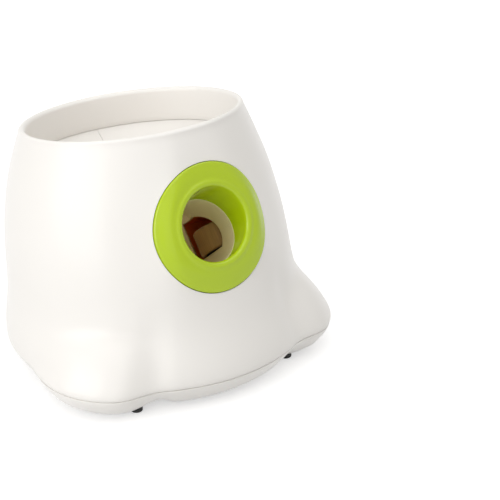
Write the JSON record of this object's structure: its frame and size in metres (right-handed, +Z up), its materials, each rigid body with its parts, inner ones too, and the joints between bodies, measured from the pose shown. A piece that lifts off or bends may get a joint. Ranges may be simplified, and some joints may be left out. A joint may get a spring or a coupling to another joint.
{
  "type": "automatic dog ball launcher",
  "caption": "Free-standing ball launcher: round three-lobed white body, open bowl on top, green muzzle ring in front, flywheels, ball gate and battery bay inside.",
  "frame": {"origin": "centre of the bounding box's bottom face, on the surface the feet stand on", "axes": "+X to the launcher's left-hand side as seen from behind it (right in a front view), -Y towards the muzzle and the thrown ball, +Z up"},
  "size_m": [0.2666, 0.2442, 0.2147],
  "materials": {
    "white_shell": "glossy injection-moulded ABS, warm white",
    "bowl_white": "glossy injection-moulded ABS, warm white",
    "lime_plastic": "satin lime green ABS",
    "cream_plastic": "unpainted cream ABS",
    "orange_plastic": "matte orange-red ABS",
    "tan_tyre": "finely ribbed tan rubber",
    "black_rubber": "matte black rubber",
    "black_plastic": "black nylon",
    "gear_white": "natural acetal",
    "button_grey": "dark grey soft-touch",
    "clear_lens": "clear acrylic light pipe",
    "zinc_steel": "zinc-plated steel",
    "shaft_steel": "bright ground steel",
    "screw_steel": "zinc-plated screws",
    "contact_brass": "plated spring brass",
    "board_green": "solder-masked circuit board",
    "red_lead": "PVC-insulated lead"
  },
  "bodies": {
    "launcher": {"upper_shell": "white_shell", "base_tray": "white_shell", "launch_ring": "lime_plastic", "funnel_right": "bowl_white", "funnel_left": "bowl_white", "control_panel": "lime_plastic", "rubber_feet": "black_rubber", "base_screws": "screw_steel", "barrel_upper": "cream_plastic", "barrel_lower": "cream_plastic", "barrel_cap": "cream_plastic", "cap_screws": "screw_steel", "barrel_screws": "screw_steel", "barrel_cradle": "cream_plastic", "cradle_screws": "screw_steel", "chute": "cream_plastic", "chute_screws": "screw_steel", "left_wheel_housing": "orange_plastic", "right_wheel_housing": "orange_plastic", "housing_screws": "screw_steel", "left_motor_plate": "zinc_steel", "right_motor_plate": "zinc_steel", "plate_screws": "screw_steel", "left_motor": "zinc_steel", "right_motor": "zinc_steel", "left_motor_cap": "black_plastic", "right_motor_cap": "black_plastic", "motor_screws": "screw_steel", "gate_pin": "shaft_steel", "gate_bracket": "zinc_steel", "gate_gearmotor": "zinc_steel", "ball_sensors": "black_plastic", "circuit_board": "board_green", "board_parts": "black_plastic", "power_switch": "black_plastic", "range_switch": "black_plastic", "indicator_lights": "clear_lens", "dc_inlet": "black_plastic", "board_screws": "screw_steel", "battery_box": "cream_plastic", "box_screws": "screw_steel", "battery_springs": "shaft_steel", "battery_contacts": "contact_brass", "door_hinge_pin": "shaft_steel", "motor_leads": "red_lead", "battery_leads": "red_lead"},
    "left_flywheel": {"left_motor_shaft": "shaft_steel", "left_wheel_hub": "black_plastic", "left_wheel_tyre": "tan_tyre"},
    "right_flywheel": {"right_motor_shaft": "shaft_steel", "right_wheel_hub": "black_plastic", "right_wheel_tyre": "tan_tyre"},
    "gate": {"ball_gate": "orange_plastic"},
    "pinion": {"gate_shaft": "shaft_steel", "gate_pinion": "gear_white"},
    "power_key": {"power_button": "button_grey"},
    "range_key": {"range_button": "button_grey"},
    "door": {"battery_door": "white_shell"}
  },
  "joints": [
    {"name": "left_flywheel_spin", "type": "hinge", "parent": "launcher", "child": "left_flywheel", "pos_m": [-0.05, -0.03603, 0.1028], "axis": [0, 0.6428, 0.766], "continuous": true},
    {"name": "right_flywheel_spin", "type": "hinge", "parent": "launcher", "child": "right_flywheel", "pos_m": [0.05, -0.03603, 0.1028], "axis": [0, 0.6428, 0.766], "continuous": true},
    {"name": "gate_swing", "type": "hinge", "parent": "launcher", "child": "gate", "pos_m": [-0.038, 0.02337, 0.10126], "axis": [0, 0.6428, 0.766], "range_deg": [0, 50]},
    {"name": "pinion_spin", "type": "hinge", "parent": "launcher", "child": "pinion", "pos_m": [-0.06101, 0.03342, 0.09804], "axis": [0, 0.6428, 0.766], "range_deg": [-200, 0]},
    {"name": "power_press", "type": "slide", "parent": "launcher", "child": "power_key", "axis": [0, -1, 0], "range_m": [0, 0.0015], "stiffness_N_per_m": 400, "springref_m": -0.001},
    {"name": "range_press", "type": "slide", "parent": "launcher", "child": "range_key", "axis": [0, -1, 0], "range_m": [0, 0.0015], "stiffness_N_per_m": 400, "springref_m": -0.001},
    {"name": "battery_door_hinge", "type": "hinge", "parent": "launcher", "child": "door", "pos_m": [0, -0.03, 0.0095], "axis": [-1, 0, 0], "range_deg": [0, 90]}
  ],
  "couplings": [
    {"joint": "pinion_spin", "follows": "gate_swing", "ratio": -4}
  ]
}
